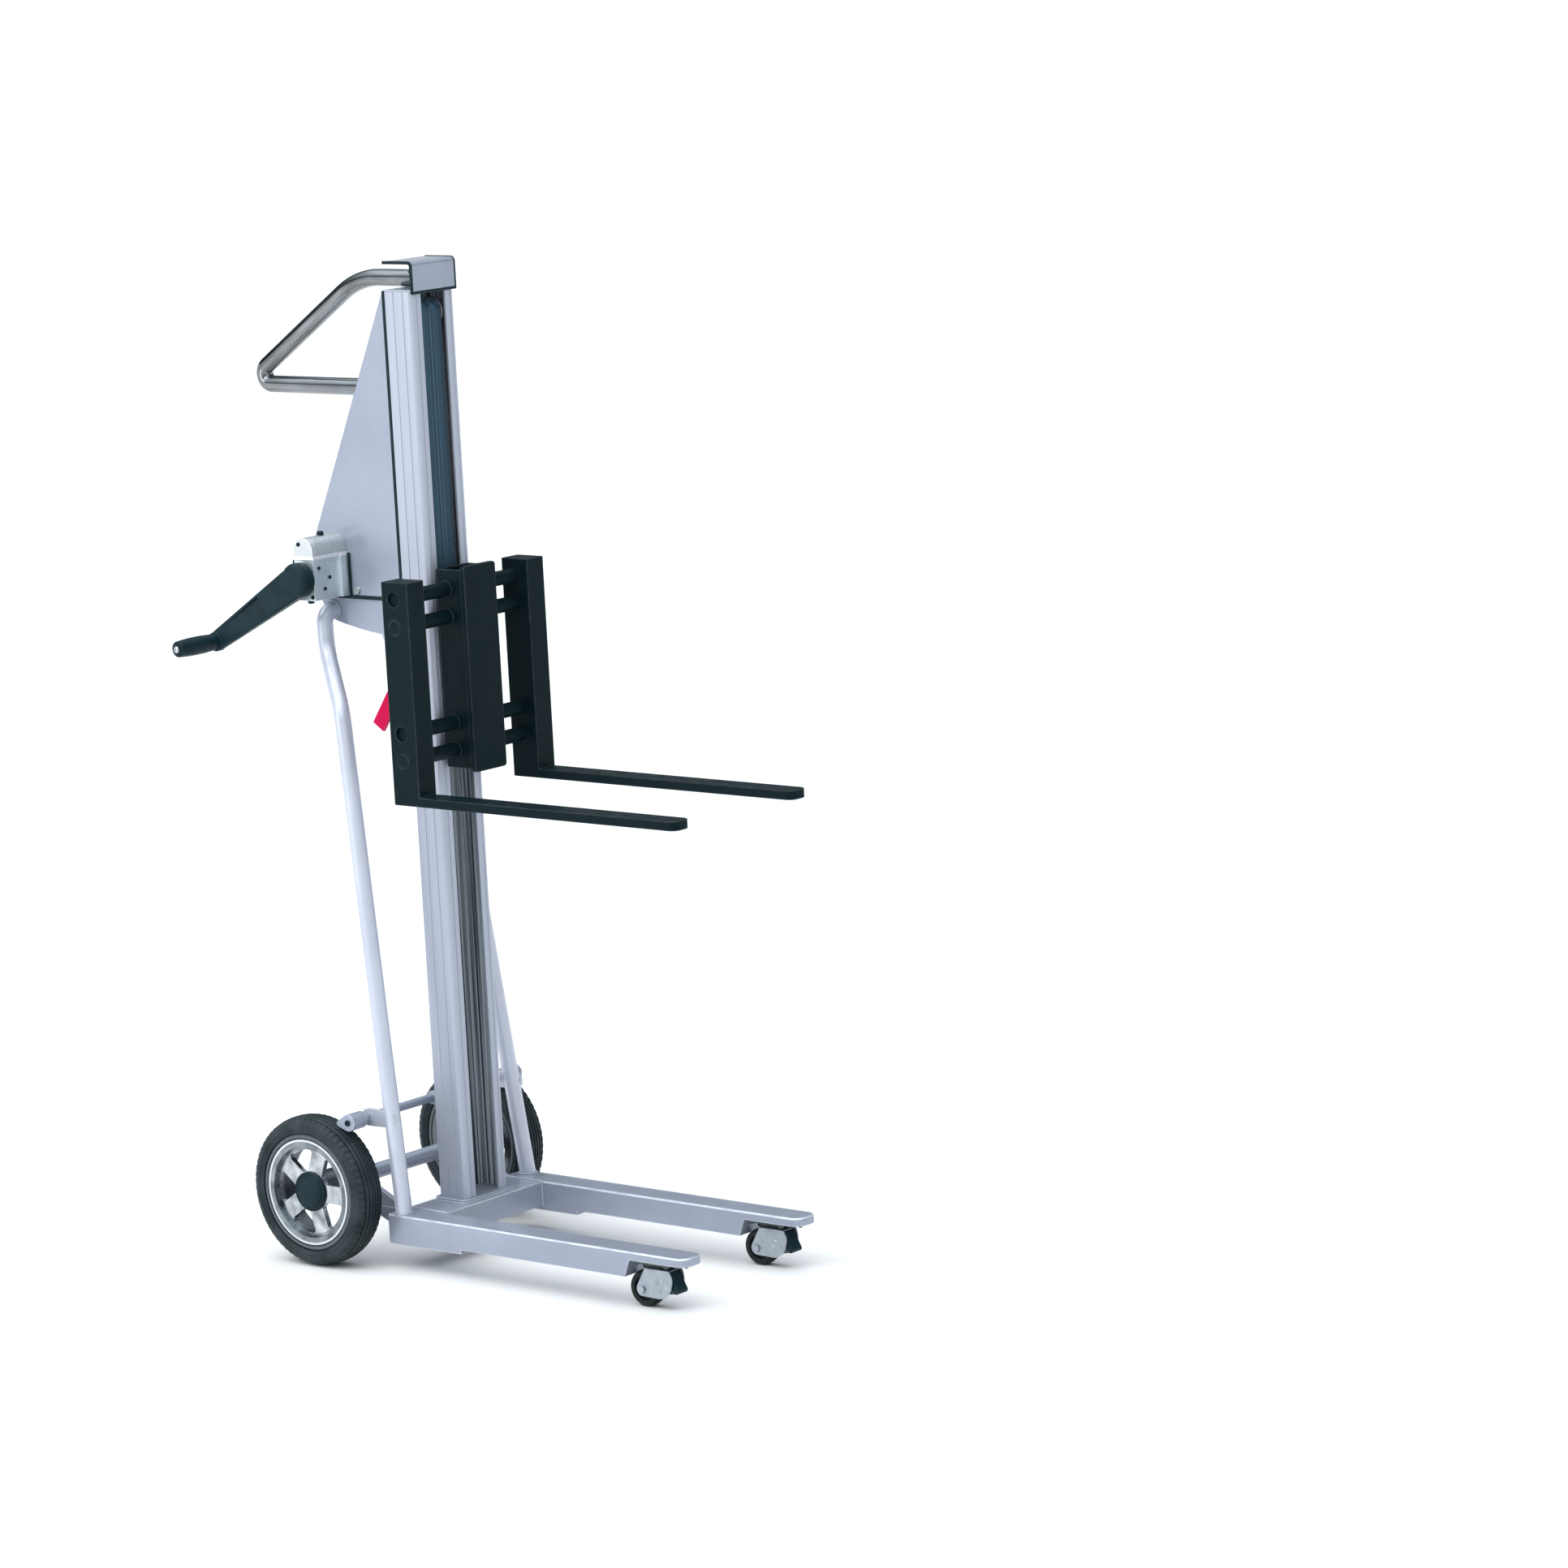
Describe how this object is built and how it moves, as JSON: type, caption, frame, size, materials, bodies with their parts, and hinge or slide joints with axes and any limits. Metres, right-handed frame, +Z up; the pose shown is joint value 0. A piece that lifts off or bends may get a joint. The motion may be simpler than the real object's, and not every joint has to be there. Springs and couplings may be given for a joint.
{
  "type": "hand-winch mini stacker",
  "caption": "Straddle-legged mini stacker with a slotted mast, a hand-crank belt winch, a carriage with sliding forks, large rear wheels, front casters and a D-shaped push handle.",
  "frame": {"origin": "on the floor in the mid plane, below the centre of the mast", "axes": "+Z up, -Y forward along the forks, +X to the operator's left"},
  "size_m": [0.502, 0.9854, 1.631],
  "materials": {
    "paint": "semi-gloss light lavender-grey paint",
    "mast_alloy": "anodised extruded aluminium, faint lavender cast",
    "black_paint": "satin black paint",
    "chrome": "bright chromed tube",
    "winch_alloy": "fine cast aluminium",
    "steel": "turned steel",
    "zinc": "bright zinc plate",
    "black_plastic": "fine-grained black plastic",
    "grey_plastic": "dense grey nylon",
    "red_paint": "gloss red paint",
    "belt": "woven dark navy lifting belt",
    "tyre": "black rubber tyre",
    "rim_alloy": "polished cast aluminium",
    "caster_rubber": "dark rubber"
  },
  "bodies": {
    "frame": {"right_leg": "paint", "left_leg": "paint", "cross_member": "paint", "mast_foot": "paint", "mast": "mast_alloy", "mast_cap": "paint", "hood": "paint", "hood_screws": "steel", "winch_bracket": "paint", "right_side_tube": "paint", "left_side_tube": "paint", "push_handle": "chrome", "wheel_axle": "paint", "axle_bushes": "steel", "winch_case": "winch_alloy", "winch_cover": "winch_alloy", "winch_knobs": "black_plastic", "ratchet_wheel": "steel", "drum_axle": "steel", "pulley_axle": "steel", "belt_rear_run": "belt", "lever_bracket": "paint", "right_caster_plate": "zinc", "left_caster_plate": "zinc", "caster_bolts": "zinc"},
    "carriage": {"carriage_frame": "black_paint", "carriage_bars": "black_paint", "roller_axles": "steel", "belt_clamp": "black_paint", "belt_front_run": "belt"},
    "upper_roller_pair": {"upper_rollers": "grey_plastic"},
    "lower_roller_pair": {"lower_rollers": "grey_plastic"},
    "right_fork_slider": {"right_fork": "black_paint"},
    "left_fork_slider": {"left_fork": "black_paint"},
    "crank": {"crank_shaft": "steel", "crank_arm": "black_plastic", "grip_spindle": "steel"},
    "grip": {"crank_grip": "black_plastic"},
    "winding_drum": {"drum": "steel", "drum_gear": "steel", "belt_coil": "belt"},
    "belt_pulley": {"top_pulley": "grey_plastic"},
    "right_wheel": {"right_tyre": "tyre", "right_rim": "rim_alloy", "right_hub_cap": "black_plastic"},
    "left_wheel": {"left_tyre": "tyre", "left_rim": "rim_alloy", "left_hub_cap": "black_plastic"},
    "right_caster": {"right_caster_yoke": "zinc", "right_caster_axle": "zinc"},
    "left_caster": {"left_caster_yoke": "zinc", "left_caster_axle": "zinc"},
    "right_caster_roller": {"right_caster_wheel": "caster_rubber"},
    "left_caster_roller": {"left_caster_wheel": "caster_rubber"},
    "right_pedal": {"right_caster_pedal": "black_plastic"},
    "left_pedal": {"left_caster_pedal": "black_plastic"},
    "brake": {"brake_shaft": "paint"},
    "brake_link": {"brake_rod": "paint"},
    "brake_handle": {"brake_lever": "red_paint"},
    "pawl_latch": {"pawl": "steel"}
  },
  "joints": [
    {"name": "carriage_lift", "type": "slide", "parent": "frame", "child": "carriage", "axis": [0, 0, 1], "range_m": [-0.672, 0.38], "deforming": ["belt_front_run"]},
    {"name": "drum_turn", "type": "hinge", "parent": "frame", "child": "winding_drum", "pos_m": [0, 0.09896, 1.14705], "axis": [1, 0, 0], "range_deg": [-1107.4, 626.6]},
    {"name": "crank_turn", "type": "hinge", "parent": "frame", "child": "crank", "pos_m": [0, 0.17, 1.123], "axis": [1, 0, 0], "range_deg": [-2056.7, 3636.3]},
    {"name": "pulley_turn", "type": "hinge", "parent": "frame", "child": "belt_pulley", "pos_m": [0, 0, 1.545], "axis": [1, 0, 0], "range_deg": [-947.6, 1675]},
    {"name": "upper_rollers_turn", "type": "hinge", "parent": "carriage", "child": "upper_roller_pair", "pos_m": [0, 0, 1.092], "axis": [1, 0, 0], "range_deg": [-1559.8, 882.5]},
    {"name": "lower_rollers_turn", "type": "hinge", "parent": "carriage", "child": "lower_roller_pair", "pos_m": [0, 0, 0.854], "axis": [1, 0, 0], "range_deg": [-882.5, 1559.8]},
    {"name": "grip_turn", "type": "hinge", "parent": "crank", "child": "grip", "pos_m": [-0.1851, 0.33091, 1.02009], "axis": [1, 0, 0], "continuous": true},
    {"name": "right_fork_slide", "type": "slide", "parent": "carriage", "child": "right_fork_slider", "axis": [1, 0, 0], "range_m": [0, 0.068]},
    {"name": "left_fork_slide", "type": "slide", "parent": "carriage", "child": "left_fork_slider", "axis": [-1, 0, 0], "range_m": [0, 0.068]},
    {"name": "brake_swing", "type": "hinge", "parent": "frame", "child": "brake", "pos_m": [0, 0.08012, 0.24604], "axis": [1, 0, 0], "range_deg": [-12, 0]},
    {"name": "brake_lever_swing", "type": "hinge", "parent": "frame", "child": "brake_handle", "pos_m": [0, 0.05779, 1], "axis": [1, 0, 0], "range_deg": [-32.89, 0]},
    {"name": "brake_rod_lift", "type": "slide", "parent": "frame", "child": "brake_link", "axis": [0, 0, 1], "range_m": [0, 0.00742]},
    {"name": "pawl_swing", "type": "hinge", "parent": "frame", "child": "pawl_latch", "pos_m": [-0.098, 0.17, 1.16], "axis": [1, 0, 0], "range_deg": [0, 12], "stiffness_Nm_per_rad": 0.02, "springref_deg": -11.46},
    {"name": "right_wheel_spin", "type": "hinge", "parent": "frame", "child": "right_wheel", "pos_m": [-0.199, 0.163, 0.125], "axis": [1, 0, 0], "continuous": true},
    {"name": "right_caster_swivel", "type": "hinge", "parent": "frame", "child": "right_caster", "pos_m": [-0.143, -0.515, 0.067], "axis": [0, 0, 1], "continuous": true},
    {"name": "right_caster_spin", "type": "hinge", "parent": "right_caster", "child": "right_caster_roller", "pos_m": [-0.143, -0.492, 0.03], "axis": [1, 0, 0], "continuous": true},
    {"name": "right_pedal_press", "type": "hinge", "parent": "right_caster", "child": "right_pedal", "pos_m": [-0.143, -0.543, 0.057], "axis": [1, 0, 0], "range_deg": [0, 10]},
    {"name": "left_wheel_spin", "type": "hinge", "parent": "frame", "child": "left_wheel", "pos_m": [0.199, 0.163, 0.125], "axis": [1, 0, 0], "continuous": true},
    {"name": "left_caster_swivel", "type": "hinge", "parent": "frame", "child": "left_caster", "pos_m": [0.143, -0.515, 0.067], "axis": [0, 0, 1], "continuous": true},
    {"name": "left_caster_spin", "type": "hinge", "parent": "left_caster", "child": "left_caster_roller", "pos_m": [0.143, -0.492, 0.03], "axis": [1, 0, 0], "continuous": true},
    {"name": "left_pedal_press", "type": "hinge", "parent": "left_caster", "child": "left_pedal", "pos_m": [0.143, -0.543, 0.057], "axis": [1, 0, 0], "range_deg": [0, 10]}
  ],
  "couplings": [
    {"joint": "drum_turn", "follows": "carriage_lift", "rad_per_m": 28.736},
    {"joint": "crank_turn", "follows": "carriage_lift", "rad_per_m": -94.417},
    {"joint": "pulley_turn", "follows": "carriage_lift", "rad_per_m": -43.478},
    {"joint": "upper_rollers_turn", "follows": "carriage_lift", "rad_per_m": 40.486},
    {"joint": "lower_rollers_turn", "follows": "carriage_lift", "rad_per_m": -40.486},
    {"joint": "brake_lever_swing", "follows": "brake_swing", "ratio": 2.7242},
    {"joint": "brake_rod_lift", "follows": "brake_swing", "m_per_rad": -0.034936}
  ]
}
